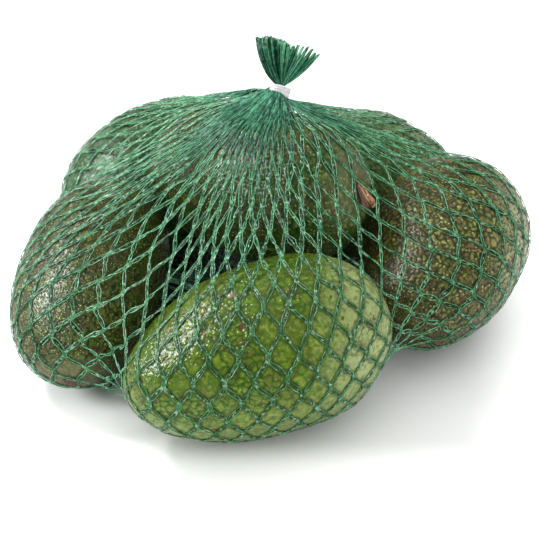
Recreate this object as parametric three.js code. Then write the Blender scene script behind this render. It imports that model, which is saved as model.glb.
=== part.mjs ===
// A green knitted net drawn tight round six avocados, gathered at the top
// through a small white band, with the cut end of the net standing up above it.
// The foot of the net is gathered the same way, up in the hollow under the fruit.
// Millimetres, +Z up. The origin is the middle of the box, on the table.

import * as THREE from 'three';

const DEG = Math.PI / 180;

// ---- the fruit that fill the net out ---------------------------------------
// centre x, y, z, heading and rise of the long axis (degrees), half length,
// half girth, how much wider the + end is, how blunt both ends are
const FRUIT = [
  { name: 'front', at: [-6.350, -66.695, 31.60], heading: 23.1, rise: 5.9, half: 50.8, girth: 32.05, taper: 0.12, blunt: 0.05 },
  { name: 'left', at: [-69.750, -18.175, 31.01], heading: 77.6, rise: 17.1, half: 46.1, girth: 29.1, taper: 0.02, blunt: 0.13 },
  { name: 'backleft', at: [-47.550, 62.215, 30.77], heading: 42.8, rise: 8.3, half: 45.9, girth: 30.4, taper: 0.02, blunt: 0.03 },
  { name: 'centre', at: [-7.050, 8.300, 59.97], heading: -34.7, rise: 4.8, half: 46.6, girth: 31.0, taper: 0.08, blunt: 0.12 },
  { name: 'right', at: [63.950, 1.575, 31.00], heading: 69.8, rise: 8.8, half: 45.4, girth: 30.9, taper: 0.14, blunt: 0.03 },
  { name: 'backright', at: [31.610, 59.845, 30.83], heading: 22.7, rise: -11.2, half: 45.2, girth: 30.0, taper: -0.05, blunt: 0.0 },
];

// ---- the net ----------------------------------------------------------------
const NET_THICK = 0.6;        // yarn lying on the skin
const SPOKES = 72;            // meridians round the net
const LEVELS = 34;            // steps from the foot ring to the neck
const BRIDGE = 8;             // how many spokes the tight net spans across a dip
const BRIDGE_ROUNDS = 3;
const HEART_Z = 40;           // height of the point the meridians are measured from

// ---- the neck, the top band and the cut end above it ------------------------
const TOP = [1.700, 18.655, 93.97]; // middle of the top band
const TOP_LEAN = 19 * DEG;     // it leans towards +X
const TOP_BACK = 29 * DEG;     // and towards +Y
const NECK_R = 3.0;
const BAND_GAP = 0.3;
const BAND_R = 4.2;            // outside of the band
const BAND_TALL = 3.8;
const BAND_RIBS = 3;
const BAND_RIB_DEEP = 0.28;
const BAND_STEPS = 28;
const TUFT_TALL = 16.2;        // above the band
const TUFT_WIDE = 11.6;        // half width of the fan at the cut
const TUFT_DEEP = 4.4;         // half depth of the fan at the cut
const TUFT_WAIST = 2.6;
const TUFT_BACK = 31 * DEG;    // the fan leans back
const TUFT_SHIFT = 1.8;        // and a little to +X
const TUFT_SLANT = 0.24;       // fall of the cut edge towards +X
const TUFT_RUFFLES = 9;
const TUFT_RUFFLE_DEEP = 0.13;
const TUFT_STEPS = 7;
const TUFT_FRAY = 0.7;         // up and down of the cut edge
const TUFT_NOTCH = 0.8;        // dip in the middle of the cut edge
const TUFT_BOWL = 5.0;         // how far the fan is open at the top

// ---- the foot: flat ring, hollow, band and short cut end --------------------
const FOOT = [-6.665, -5.408];     // middle of the gathered foot
const FOOT_OUT = 27;           // the ring that is flat for sure
const FOOT_IN = 20;
const HOLLOW_TALL = 17;
const FOOT_BAND_Z = 8.6;       // middle of the foot band
const FOOT_TUFT_Z = 1.2;
const FOOT_TUFT_R = 9.0;

const NET_GREEN = 0x2f8259;
const BAND_WHITE = 0xf2f2ee;

// ---------------------------------------------------------------------------
// Fruit form: along the axis s runs from -1 to 1 and the girth follows
// sqrt(1 - s*s) with a taper and blunted ends. Negative inside.
for (const f of FRUIT) {
  const h = f.heading * DEG, r = f.rise * DEG;
  f.axis = [Math.cos(r) * Math.cos(h), Math.cos(r) * Math.sin(h), Math.sin(r)];
}

function fruitField(f, x, y, z) {
  const dx = x - f.at[0], dy = y - f.at[1], dz = z - f.at[2];
  const along = dx * f.axis[0] + dy * f.axis[1] + dz * f.axis[2];
  const s = along / f.half;
  const across2 = Math.max(0, dx * dx + dy * dy + dz * dz - along * along);
  const c = Math.min(1, Math.max(-1, s));
  const g = f.girth * (1 + f.taper * c + f.blunt * (c * c - 0.5));
  return s * s + across2 / (g * g) - 1;
}

// The net is measured round a slanting line from the foot's middle to the neck.
const axisAt = (z) => [0, 1].map((i) => FOOT[i] + ((TOP[i] - FOOT[i]) * z) / TOP[2]);

// Section of one fruit with the half plane at angle t round that line,
// as points [r, z]; empty where the plane misses it.
function fruitSection(f, t) {
  const ct = Math.cos(t), st = Math.sin(t);
  const field = (r, z) => {
    const [ax, ay] = axisAt(z);
    return fruitField(f, ax + r * ct, ay + r * st, z);
  };
  let best = Infinity, r0 = 0, z0 = 0;
  for (let r = 0; r <= 150; r += 3) {
    for (let z = 0; z <= 100; z += 3) {
      const v = field(r, z);
      if (v < best) { best = v; r0 = r; z0 = z; }
    }
  }
  if (best >= -1e-3) return [];
  const pts = [];
  const rays = 64;
  for (let k = 0; k < rays; k++) {
    const a = (k / rays) * 2 * Math.PI, ca = Math.cos(a), sa = Math.sin(a);
    let lo = 0, hi = 120;
    if (ca < 0) hi = Math.min(hi, r0 / -ca);
    for (let i = 0; i < 34; i++) {
      const mid = (lo + hi) / 2;
      if (field(r0 + mid * ca, z0 + mid * sa) < 0) lo = mid; else hi = mid;
    }
    pts.push([Math.max(0, r0 + lo * ca), z0 + lo * sa]);
  }
  return pts;
}

function convexHull(points) {
  const p = points.slice().sort((a, b) => a[0] - b[0] || a[1] - b[1]);
  const cross = (o, a, b) => (a[0] - o[0]) * (b[1] - o[1]) - (a[1] - o[1]) * (b[0] - o[0]);
  const half = (list) => {
    const h = [];
    for (const q of list) {
      while (h.length > 1 && cross(h[h.length - 2], h[h.length - 1], q) <= 0) h.pop();
      h.push(q);
    }
    h.pop();
    return h;
  };
  return half(p).concat(half(p.reverse()));
}

// Distance from [0, HEART_Z] to the hull along the direction of angle a.
function castOut(hull, a) {
  const ca = Math.cos(a), sa = Math.sin(a);
  let far = 0;
  for (let i = 0; i < hull.length; i++) {
    const [x1, y1] = hull[i], [x2, y2] = hull[(i + 1) % hull.length];
    const ex = x2 - x1, ey = y2 - y1;
    const den = ca * ey - sa * ex;
    if (Math.abs(den) < 1e-12) continue;
    const px = x1, py = y1 - HEART_Z;
    const d = (px * ey - py * ex) / den;
    const u = (px * sa - py * ca) / den;
    if (d > 0 && u >= -1e-9 && u <= 1 + 1e-9) far = Math.max(far, d);
  }
  return far;
}

// frame of the leaning neck
const NECK_X = [Math.cos(TOP_LEAN), 0, -Math.sin(TOP_LEAN)];
const NECK_Z = [Math.sin(TOP_LEAN) * Math.cos(TOP_BACK), Math.sin(TOP_BACK), Math.cos(TOP_LEAN) * Math.cos(TOP_BACK)];
const NECK_Y = [
  NECK_Z[1] * NECK_X[2] - NECK_Z[2] * NECK_X[1],
  NECK_Z[2] * NECK_X[0] - NECK_Z[0] * NECK_X[2],
  NECK_Z[0] * NECK_X[1] - NECK_Z[1] * NECK_X[0],
];
const neckPoint = (r1, r2, h) => [0, 1, 2].map(
  (i) => TOP[i] + NECK_X[i] * r1 + NECK_Y[i] * r2 + NECK_Z[i] * h);

// ---- the drawn-tight net, one ring of points for each level ------------------
function netRings() {
  const neckH = -BAND_TALL / 2 - 1.0;                 // where the gathers meet the neck
  const lowAngle = Math.atan2(-HEART_Z, FOOT_OUT);
  const neckZ = TOP[2] + neckH * NECK_Z[2] - HEART_Z;
  const highAngle = Math.atan2(neckZ, NECK_R + 1.2);
  const reach = [];
  for (let k = 0; k < SPOKES; k++) {
    const t = (k / SPOKES) * 2 * Math.PI;
    const pts = [[0, 0], [FOOT_OUT, 0]];
    const n = neckPoint(NECK_R * Math.cos(t), NECK_R * Math.sin(t), neckH);
    pts.push([0, n[2]], [NECK_R, n[2]]);
    for (const f of FRUIT) pts.push(...fruitSection(f, t));
    const hull = convexHull(pts);
    const row = [];
    for (let j = 0; j <= LEVELS; j++) {
      row.push(castOut(hull, lowAngle + ((highAngle - lowAngle) * j) / LEVELS) + NET_THICK);
    }
    reach.push(row);
  }
  // the tight net spans the dips between neighbouring fruit
  for (let round = 0; round < BRIDGE_ROUNDS; round++) {
    const from = reach.map((row) => row.slice());
    for (let k = 0; k < SPOKES; k++) {
      for (let j = 0; j <= LEVELS; j++) {
        let span = 0;
        for (let d = 1; d <= BRIDGE; d++) {
          const a = from[(k + d) % SPOKES][j], b = from[(k - d + SPOKES) % SPOKES][j];
          span = Math.max(span, (a + b) / 2 * (1 - 0.0034 * d * d));
        }
        reach[k][j] = Math.max(reach[k][j], 0.45 * span + 0.55 * reach[k][j]);
      }
    }
  }
  const rings = [];
  for (let j = 0; j <= LEVELS; j++) {
    const a = lowAngle + ((highAngle - lowAngle) * j) / LEVELS;
    const ring = [];
    for (let k = 0; k < SPOKES; k++) {
      const t = (k / SPOKES) * 2 * Math.PI;
      const r = reach[k][j] * Math.cos(a);
      const z = HEART_Z + reach[k][j] * Math.sin(a);
      const low = z < 1.1 ? 0 : z;
      const [ax, ay] = axisAt(z);
      ring.push([ax + r * Math.cos(t), ay + r * Math.sin(t), low]);
    }
    rings.push(ring);
  }
  return rings;
}

const levelRing = (r, z) => Array.from({ length: SPOKES }, (_, k) => {
  const t = (k / SPOKES) * 2 * Math.PI;
  return [FOOT[0] + r * Math.cos(t), FOOT[1] + r * Math.sin(t), z];
});

const neckRing = (r, h) => Array.from({ length: SPOKES }, (_, k) => {
  const t = (k / SPOKES) * 2 * Math.PI;
  return neckPoint(r * Math.cos(t), r * Math.sin(t), h);
});

// frame of the fan: as wide as it is along X, leaning back
const tuftPoint = (x, y, h) => [
  TOP[0] + x,
  TOP[1] + y * Math.cos(TUFT_BACK) + h * Math.sin(TUFT_BACK),
  TOP[2] - y * Math.sin(TUFT_BACK) + h * Math.cos(TUFT_BACK),
];

// the fan of cut net above the band
function tuftRings() {
  const rings = [];
  for (let j = 1; j <= TUFT_STEPS; j++) {
    const v = j / TUFT_STEPS;
    const wide = TUFT_WAIST + (TUFT_WIDE - TUFT_WAIST) * Math.pow(v, 0.92);
    const deep = TUFT_WAIST + (TUFT_DEEP - TUFT_WAIST) * Math.pow(v, 1.15);
    rings.push(Array.from({ length: SPOKES }, (_, k) => {
      const t = (k / SPOKES) * 2 * Math.PI;
      const ruffle = 1 + TUFT_RUFFLE_DEEP * v * Math.sin(TUFT_RUFFLES * t + 0.7);
      const x = wide * ruffle * Math.cos(t) + TUFT_SHIFT * v, y = deep * ruffle * Math.sin(t);
      const fray = v * v * (TUFT_FRAY * Math.sin(TUFT_RUFFLES * 2 * t)
        - TUFT_NOTCH * Math.exp(-((x / 3) ** 2)) - TUFT_SLANT * x);
      return tuftPoint(x, y, BAND_TALL / 2 + 0.5 + TUFT_TALL * v + fray);
    }));
  }
  return rings;
}

// ---- closed skins ---------------------------------------------------------------
function solid(vertices, triangles) {
  const g = new THREE.BufferGeometry();
  g.setAttribute('position', new THREE.Float32BufferAttribute(vertices.flat(), 3));
  g.setIndex(triangles.flat());
  g.computeVertexNormals();
  return g;
}

// rings listed from the bottom pole to the top pole, each turning with +Z
function ringSolid(bottomPole, rings, topPole) {
  const vertices = [bottomPole], triangles = [], n = rings[0].length;
  for (const ring of rings) vertices.push(...ring);
  const at = (j, k) => 1 + j * n + (k % n);
  for (let k = 0; k < n; k++) triangles.push([0, at(0, k + 1), at(0, k)]);
  for (let j = 0; j + 1 < rings.length; j++) {
    for (let k = 0; k < n; k++) {
      triangles.push([at(j, k), at(j, k + 1), at(j + 1, k + 1)]);
      triangles.push([at(j, k), at(j + 1, k + 1), at(j + 1, k)]);
    }
  }
  const last = rings.length - 1;
  vertices.push(topPole);
  for (let k = 0; k < n; k++) triangles.push([at(last, k), at(last, k + 1), vertices.length - 1]);
  return solid(vertices, triangles);
}

// a ribbed band round an axis; place(r, angle, h) gives the point
function bandSolid(place) {
  const section = [];
  const inner = NECK_R + BAND_GAP, half = BAND_TALL / 2, steps = BAND_RIBS * 4;
  section.push([inner, -half + 0.25], [inner + 0.25, -half]);
  for (let i = 0; i <= steps; i++) {
    const u = i / steps;
    const rib = Math.abs(Math.sin(Math.PI * BAND_RIBS * u));
    section.push([BAND_R - BAND_RIB_DEEP * (1 - rib), -half + 0.15 + (BAND_TALL - 0.3) * u]);
  }
  section.push([inner + 0.25, half], [inner, half - 0.25]);
  const vertices = [], triangles = [], m = section.length;
  for (let k = 0; k < BAND_STEPS; k++) {
    const t = (k / BAND_STEPS) * 2 * Math.PI;
    for (const [r, h] of section) vertices.push(place(r, t, h));
  }
  for (let k = 0; k < BAND_STEPS; k++) {
    const k2 = (k + 1) % BAND_STEPS;
    for (let i = 0; i < m; i++) {
      const i2 = (i + 1) % m;
      triangles.push([k * m + i, k2 * m + i, k2 * m + i2]);
      triangles.push([k * m + i, k2 * m + i2, k * m + i2]);
    }
  }
  return solid(vertices, triangles);
}

// ---- the net as one skin: foot tuft, foot neck, hollow, flat ring, bag, neck, fan
const footNeckLow = FOOT_BAND_Z - BAND_TALL / 2, footNeckHigh = FOOT_BAND_Z + BAND_TALL / 2;
const netGeometry = ringSolid(
  [FOOT[0], FOOT[1], FOOT_TUFT_Z],
  [
    levelRing(FOOT_TUFT_R * 0.6, FOOT_TUFT_Z),
    levelRing(FOOT_TUFT_R, FOOT_TUFT_Z + 0.8),
    levelRing(FOOT_TUFT_R * 0.62, FOOT_TUFT_Z + 3.2),
    levelRing(NECK_R, footNeckLow - 0.6),
    levelRing(NECK_R, footNeckHigh + 0.8),
    levelRing(NECK_R + 5, HOLLOW_TALL - 1),
    levelRing(NECK_R + 9, HOLLOW_TALL),
    levelRing(FOOT_IN - 3.5, HOLLOW_TALL * 0.62),
    levelRing(FOOT_IN, 0),
    ...netRings(),
    neckRing(NECK_R, -BAND_TALL / 2 - 0.4),
    neckRing(NECK_R, BAND_TALL / 2 + 0.4),
    ...tuftRings(),
  ],
  tuftPoint(TUFT_SHIFT, 0, BAND_TALL / 2 + TUFT_TALL - TUFT_BOWL),
);

const netMaterial = new THREE.MeshStandardMaterial({ color: NET_GREEN, roughness: 0.5, metalness: 0 });
const bandMaterial = new THREE.MeshStandardMaterial({ color: BAND_WHITE, roughness: 0.4, metalness: 0 });

const group = new THREE.Group();

const net = new THREE.Mesh(netGeometry, netMaterial);
net.name = 'net_bag';
group.add(net);

const topBand = new THREE.Mesh(
  bandSolid((r, t, h) => neckPoint(r * Math.cos(t), r * Math.sin(t), h)), bandMaterial.clone());
topBand.name = 'band_top';
group.add(topBand);

const footBand = new THREE.Mesh(
  bandSolid((r, t, h) => [FOOT[0] + r * Math.cos(t), FOOT[1] + r * Math.sin(t), FOOT_BAND_Z + h]), bandMaterial.clone());
footBand.name = 'band_foot';
group.add(footBand);

export default group;
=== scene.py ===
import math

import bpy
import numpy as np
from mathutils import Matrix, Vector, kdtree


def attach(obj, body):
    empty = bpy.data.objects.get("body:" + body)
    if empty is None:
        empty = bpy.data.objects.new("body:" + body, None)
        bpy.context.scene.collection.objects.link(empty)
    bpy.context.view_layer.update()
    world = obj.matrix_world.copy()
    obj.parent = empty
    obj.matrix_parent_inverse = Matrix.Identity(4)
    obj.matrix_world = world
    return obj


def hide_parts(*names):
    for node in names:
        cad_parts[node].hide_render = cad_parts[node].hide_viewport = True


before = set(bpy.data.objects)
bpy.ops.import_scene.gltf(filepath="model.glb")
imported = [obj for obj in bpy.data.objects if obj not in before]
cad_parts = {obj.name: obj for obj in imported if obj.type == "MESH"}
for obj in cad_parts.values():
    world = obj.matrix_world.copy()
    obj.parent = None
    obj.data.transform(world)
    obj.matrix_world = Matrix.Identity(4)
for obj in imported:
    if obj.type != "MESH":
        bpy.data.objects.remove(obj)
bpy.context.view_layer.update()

# A net of six avocados: the closed net solid of the frame is replaced here by the
# knitted net itself, the fruit inside it, and the two white bands that close it.
# Lengths are worked out in millimetres and turned into metres when a mesh is made.

DEG = math.pi / 180.0
MM = 0.001

# ---------------------------------------------------------------- driving sizes
# fruit: centre; heading and rise of its long axis in degrees; half length; half
# girth; taper (positive: fatter at its far end); bluntness of the ends
FRUIT = {
    "front": ((-6.350, -66.695, 31.60), 23.1, 5.9, 50.8, 32.05, 0.12, 0.05),
    "left": ((-69.750, -18.175, 31.01), 77.6, 17.1, 46.1, 29.1, 0.02, 0.13),
    "backleft": ((-47.550, 62.215, 30.77), 42.8, 8.3, 45.9, 30.4, 0.02, 0.03),
    "centre": ((-7.050, 8.300, 59.97), -34.7, 4.8, 46.6, 31.0, 0.08, 0.12),
    "right": ((63.950, 1.575, 31.00), 69.8, 8.8, 45.4, 30.9, 0.14, 0.03),
    "backright": ((31.610, 59.845, 30.83), 22.7, -11.2, 45.2, 30.0, -0.05, 0.0),
}
# where the stalk grew: a direction in the fruit's own frame (along, across, up)
STALK = {
    "front": (1.0, 0.0, 0.0), "left": (-0.974, -0.148, -0.171), "backleft": (1.0, 0.0, 0.0),
    "centre": (0.977, 0.066, 0.203), "right": (1.0, 0.0, 0.0), "backright": (1.0, 0.0, 0.0),
}
STUB_WAY = (0.447, -0.560, -0.697)         # the way the woody stub points
STUB_LONG = 8.9

# marks on the skin: fruit, place, half width, kind
MARKS = [
    ("front", (-14.9, -75.4, 60.2), 1.5, "blush"), ("front", (-11.7, -87.2, 54.8), 1.5, "scar"),
    ("front", (-24.6, -86.7, 53.2), 1.2, "scar"), ("front", (-17.6, -90.6, 51.6), 1.0, "scar"),
    ("front", (-37.5, -91.9, 44.1), 1.1, "scar"), ("front", (-45.0, -90.0, 40.4), 1.2, "scar"),
    ("front", (-41.9, -96.7, 30.1), 1.4, "scar"), ("front", (-32.6, -98.9, 34.1), 1.3, "scar"),
    ("front", (-14.1, -97.4, 41.5), 1.0, "scar"), ("front", (-21.3, -97.3, 17.3), 1.5, "scar"),
    ("front", (23.0, -78.0, 52.7), 0.95, "scar"), ("front", (28.5, -71.1, 53.8), 1.0, "scar"),
    ("front", (30.6, -76.3, 47.0), 0.9, "scar"), ("front", (25.9, -81.0, 46.3), 1.0, "scar"),
    ("front", (34.3, -70.3, 47.9), 0.9, "scar"), ("front", (19.2, -73.9, 57.6), 0.9, "scar"),
    ("left", (-65.6, -59.0, 27.9), 1.6, "scar"), ("left", (-63.2, -45.8, 45.4), 1.1, "scar"),
    ("left", (-64.6, -38.9, 50.6), 1.3, "scar"), ("left", (-69.1, -43.4, 49.1), 0.9, "scar"),
    ("right", (63.8, -14.8, 57.1), 1.0, "scar"), ("right", (69.2, -35.9, 34.2), 1.2, "scar"),
]

TOP = np.array([1.700, 18.655, 93.97])     # middle of the top band
TOP_LEAN = 19.0 * DEG                      # its lean towards +X
TOP_BACK = 29.0 * DEG                      # and towards +Y
FOOT = np.array([-6.665, -5.408, 8.6])     # middle of the foot band

NX = np.array([math.cos(TOP_LEAN), 0.0, -math.sin(TOP_LEAN)])
NZ = np.array([math.sin(TOP_LEAN) * math.cos(TOP_BACK), math.sin(TOP_BACK), math.cos(TOP_LEAN) * math.cos(TOP_BACK)])
NY = np.cross(NZ, NX)

CELLS = 54          # knots round the net
ROWS = 26           # rows of knots from band to band
KNOT = 1.6          # length of a knot
LEG = 10.4          # length of a leg between knots
CLEAR = 0.37        # height of the yarn over the skin


# ---------------------------------------------------------------- small helpers
def unit(v):
    return v / (np.sqrt((v * v).sum(-1))[..., None] + 1e-12)


def axis_of(heading, rise):
    h, r = heading * DEG, rise * DEG
    return np.array([math.cos(r) * math.cos(h), math.cos(r) * math.sin(h), math.sin(r)])


def smooth(x, lo, hi):
    t = np.clip((x - lo) / (hi - lo), 0.0, 1.0)
    return t * t * (3.0 - 2.0 * t)


class Waves:
    """Smooth seeded noise: a sum of plane waves, about -1 to 1."""

    def __init__(self, seed, wavelength, count=9):
        rng = np.random.default_rng(seed)
        d = unit(rng.normal(size=(count, 3)))
        self.k = d * (2 * math.pi / (wavelength * rng.uniform(0.7, 1.4, count)))[:, None]
        self.p = rng.uniform(0, 2 * math.pi, count)
        self.s = math.sqrt(2.0 / count)

    def __call__(self, p):
        return np.sin(p @ self.k.T + self.p).sum(-1) * self.s


class Fruit:
    def __init__(self, name, seed):
        c, heading, rise, a, b, k1, k2 = FRUIT[name]
        self.name, self.c, self.a, self.b, self.k1, self.k2 = name, np.array(c), a, b, k1, k2
        self.u = axis_of(heading, rise)
        self.v = unit(np.cross([0.0, 0.0, 1.0], self.u))
        self.w = np.cross(self.u, self.v)
        self.lump = Waves(seed, 34.0, 7)
        self.lump_size = 0.36

    def point(self, d):
        """surface point for a unit direction d (first number along the axis)"""
        s = d[:, 0]
        g = self.b * (1 + self.k1 * s + self.k2 * (s * s - 0.5))
        return (self.c + (self.a * s)[:, None] * self.u
                + (g * d[:, 1])[:, None] * self.v + (g * d[:, 2])[:, None] * self.w)

    def field(self, p):
        """about the signed distance to the skin, and the way out"""
        d = p - self.c
        h = d @ self.u
        s = h / self.a
        rad = d - h[:, None] * self.u
        q = np.sqrt((rad * rad).sum(1)) + 1e-9
        sc = np.clip(s, -1, 1)
        g = self.b * (1 + self.k1 * sc + self.k2 * (sc * sc - 0.5))
        gp = np.where(np.abs(s) < 1, self.b * (self.k1 + 2 * self.k2 * sc), 0)
        r = np.sqrt(s * s + q * q / (g * g))
        grad = ((2 * s - 2 * q * q * gp / g ** 3)[:, None] * (self.u / self.a)
                + (2 * q / (g * g))[:, None] * (rad / q[:, None])) / (2 * r[:, None])
        gl = np.sqrt((grad * grad).sum(1)) + 1e-12
        sd = (r - 1) / gl
        near = sd < 4.0
        if near.any():
            sd[near] -= self.lump_size * self.lump(p[near])
        return sd, grad / gl[:, None]


FRUITS = [Fruit(n, 11 + 7 * i) for i, n in enumerate(FRUIT)]
BY_NAME = {f.name: f for f in FRUITS}


class Stick:
    """a round bar, as the net feels it: the stalk stub, and the slack that hangs low in one gap"""

    def __init__(self, p, q, r):
        self.p, self.q, self.r = p, q, r

    def field(self, x):
        d = self.q - self.p
        t = np.clip(((x - self.p) @ d) / (d @ d), 0, 1)
        n = x - (self.p + t[:, None] * d)
        l = np.sqrt((n * n).sum(1)) + 1e-9
        return l - self.r, n / l[:, None]


STUB_WAY = unit(np.array(STUB_WAY))
STUB_FROM = BY_NAME["centre"].point(unit(np.array([STALK["centre"]])))[0]
SOLIDS = FRUITS + [Stick(STUB_FROM, STUB_FROM + STUB_WAY * (STUB_LONG - 2.2), 1.5),
                   Stick(np.array([-64.5, -45.5, 12.0]), np.array([-56.5, -57.0, 14.0]), 6.5),
                   Stick(np.array([-27.7, 63.5, 67.4]), np.array([-6.0, 20.9, 91.4]), 1.2)]


def push_out(p, off):
    """lifts points out of every fruit to a height over its skin"""
    hit = np.zeros(len(p), bool)
    for f in SOLIDS:
        sd, n = f.field(p)
        m = sd < off
        if m.any():
            q = p[m]
            want = off if np.isscalar(off) else off[m]
            for _ in range(2):
                sd2, n2 = f.field(q)
                q = q + np.maximum(want - sd2, 0)[:, None] * n2
            p[m] = q
            hit |= m
    return p, hit


def mesh_object(name, verts, quads, tris=None, attrs=None, smooth_shade=True):
    """a mesh object from arrays in millimetres"""
    verts = np.asarray(verts, float) * MM
    me = bpy.data.meshes.new(name)
    nq = 0 if quads is None else len(quads)
    nt = 0 if tris is None else len(tris)
    me.vertices.add(len(verts))
    me.vertices.foreach_set("co", verts.astype(np.float32).ravel())
    loops = []
    if nq:
        loops.append(np.asarray(quads, np.int32).ravel())
    if nt:
        loops.append(np.asarray(tris, np.int32).ravel())
    loops = np.concatenate(loops)
    me.loops.add(len(loops))
    me.loops.foreach_set("vertex_index", loops)
    starts = np.concatenate([np.arange(nq) * 4, nq * 4 + np.arange(nt) * 3]).astype(np.int32)
    me.polygons.add(nq + nt)
    me.polygons.foreach_set("loop_start", starts)
    me.update(calc_edges=True)
    me.validate()
    me.polygons.foreach_set("use_smooth", np.full(len(me.polygons), smooth_shade))
    for key, val in (attrs or {}).items():
        at = me.attributes.new(key, "FLOAT", "POINT")
        at.data.foreach_set("value", np.asarray(val, np.float32))
    me.update()
    ob = bpy.data.objects.new(name, me)
    bpy.context.scene.collection.objects.link(ob)
    return ob


# ---------------------------------------------------------------- material nodes
class Nodes:
    """short calls for a node tree"""

    def __init__(self, name):
        self.mat = bpy.data.materials.new(name)
        self.mat.use_nodes = True
        self.t = self.mat.node_tree
        self.t.nodes.clear()
        self.out = self.t.nodes.new("ShaderNodeOutputMaterial")
        self.b = self.t.nodes.new("ShaderNodeBsdfPrincipled")
        self.link(self.b.outputs[0], self.out.inputs[0])
        self.co = self.t.nodes.new("ShaderNodeTexCoord").outputs["Object"]

    def link(self, a, b):
        self.t.links.new(a, b)

    def put(self, sock, val):
        if hasattr(val, "is_linked"):
            self.link(val, sock)
        else:
            sock.default_value = val

    def attr(self, name):
        n = self.t.nodes.new("ShaderNodeAttribute")
        n.attribute_name = name
        return n.outputs["Fac"]

    def noise(self, scale, detail=3.0, rough=0.55, stretch=None, distort=0.0):
        co = self.co
        if stretch is not None:
            mp = self.t.nodes.new("ShaderNodeMapping")
            mp.vector_type = "TEXTURE"
            mp.inputs["Rotation"].default_value = (0.0, -stretch[1] * DEG, stretch[0] * DEG)
            mp.inputs["Scale"].default_value = (stretch[2], 1.0, 1.0)
            self.link(co, mp.inputs["Vector"])
            co = mp.outputs[0]
        n = self.t.nodes.new("ShaderNodeTexNoise")
        self.link(co, n.inputs["Vector"])
        n.inputs["Scale"].default_value = scale
        n.inputs["Detail"].default_value = detail
        n.inputs["Roughness"].default_value = rough
        n.inputs["Distortion"].default_value = distort
        return n.outputs["Fac"]

    def cells(self, scale, feature="F1", out="Distance", jitter=1.0):
        n = self.t.nodes.new("ShaderNodeTexVoronoi")
        n.feature = feature
        self.link(self.co, n.inputs["Vector"])
        n.inputs["Scale"].default_value = scale
        n.inputs["Randomness"].default_value = jitter
        return n.outputs[out]

    def remap(self, val, lo, hi, a=0.0, b=1.0):
        n = self.t.nodes.new("ShaderNodeMapRange")
        n.interpolation_type = "SMOOTHSTEP"
        self.put(n.inputs["Value"], val)
        for k, v in (("From Min", lo), ("From Max", hi), ("To Min", a), ("To Max", b)):
            n.inputs[k].default_value = v
        return n.outputs[0]

    def math(self, op, a, b=0.0):
        n = self.t.nodes.new("ShaderNodeMath")
        n.operation = op
        self.put(n.inputs[0], a)
        self.put(n.inputs[1], b)
        return n.outputs[0]

    def mix(self, fac, a, b, mode="MIX"):
        n = self.t.nodes.new("ShaderNodeMix")
        n.data_type = "RGBA"
        n.blend_type = mode
        n.clamp_factor = True
        self.put(n.inputs[0], fac)
        self.put(n.inputs[6], a if hasattr(a, "is_linked") else rgba(a))
        self.put(n.inputs[7], b if hasattr(b, "is_linked") else rgba(b))
        return n.outputs[2]

    def bump(self, height, dist, strength=1.0, normal=None):
        n = self.t.nodes.new("ShaderNodeBump")
        n.inputs["Strength"].default_value = strength
        n.inputs["Distance"].default_value = dist
        self.link(height, n.inputs["Height"])
        if normal is not None:
            self.link(normal, n.inputs["Normal"])
        return n.outputs[0]


def lin(v):
    v = v / 255.0
    return v / 12.92 if v <= 0.04045 else ((v + 0.055) / 1.055) ** 2.4


def rgba(c):
    """display colour 0..255 to the linear colour of a node"""
    if len(c) == 4:
        return c
    return (lin(c[0]), lin(c[1]), lin(c[2]), 1.0)


# ---------------------------------------------------------------- the fruit
def cube_sphere(n):
    """unit directions and quads of a cube's grid blown up to a ball"""
    t = np.tan(np.linspace(-math.pi / 4, math.pi / 4, n + 1))
    quads = []
    i, j = np.meshgrid(np.arange(n), np.arange(n), indexing="ij")
    i, j = i.ravel(), j.ravel()
    m = n + 1
    for ax in range(3):
        for side in (0, n):
            def key(a, b):
                c = [None] * 3
                c[ax] = np.full_like(a, side)
                c[(ax + 1) % 3] = a
                c[(ax + 2) % 3] = b
                return (c[0] * m + c[1]) * m + c[2]
            q = np.stack([key(i, j), key(i + 1, j), key(i + 1, j + 1), key(i, j + 1)], 1)
            quads.append(q if side else q[:, ::-1])
    quads = np.concatenate(quads)
    keys, inv = np.unique(quads.ravel(), return_inverse=True)
    c = np.stack([keys // (m * m), keys // m % m, keys % m], 1)
    return unit(t[c]), inv.reshape(-1, 4)


def scatter(f, spacing, rng, vary):
    """points strewn over a fruit, nearer together in some patches than in others"""
    cand = unit(rng.normal(size=(40000, 3)))
    p = f.point(cand)
    size = spacing * rng.uniform(0.7, 1.3, len(p)) * (1.0 + 0.28 * np.clip(vary(p), -1.2, 1.2))
    kd = kdtree.KDTree(len(p))
    for k in range(len(p)):
        kd.insert(p[k], k)
    kd.balance()
    alive = np.ones(len(p), bool)
    keep = []
    for k in range(len(p)):
        if not alive[k]:
            continue
        keep.append(k)
        for _, idx, _ in kd.find_range(p[k], size[k]):
            alive[idx] = False
    return p[keep], size[keep]


# per fruit: grid, pebble spacing, pebble height, evenness of the pebbles, seed, finer grid in front
SKIN = {
    "front": (102, 1.7, 0.46, 0.40, 3, 0.32),
    "left": (88, 1.3, 0.42, 0.45, 5, 0.28),
    "backleft": (62, 1.9, 0.44, 0.60, 8, 0.0),
    "centre": (88, 1.4, 0.50, 0.55, 13, 0.25),
    "right": (98, 1.32, 0.50, 0.66, 21, 0.30),
    "backright": (62, 1.9, 0.44, 0.60, 34, 0.0),
}


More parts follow.
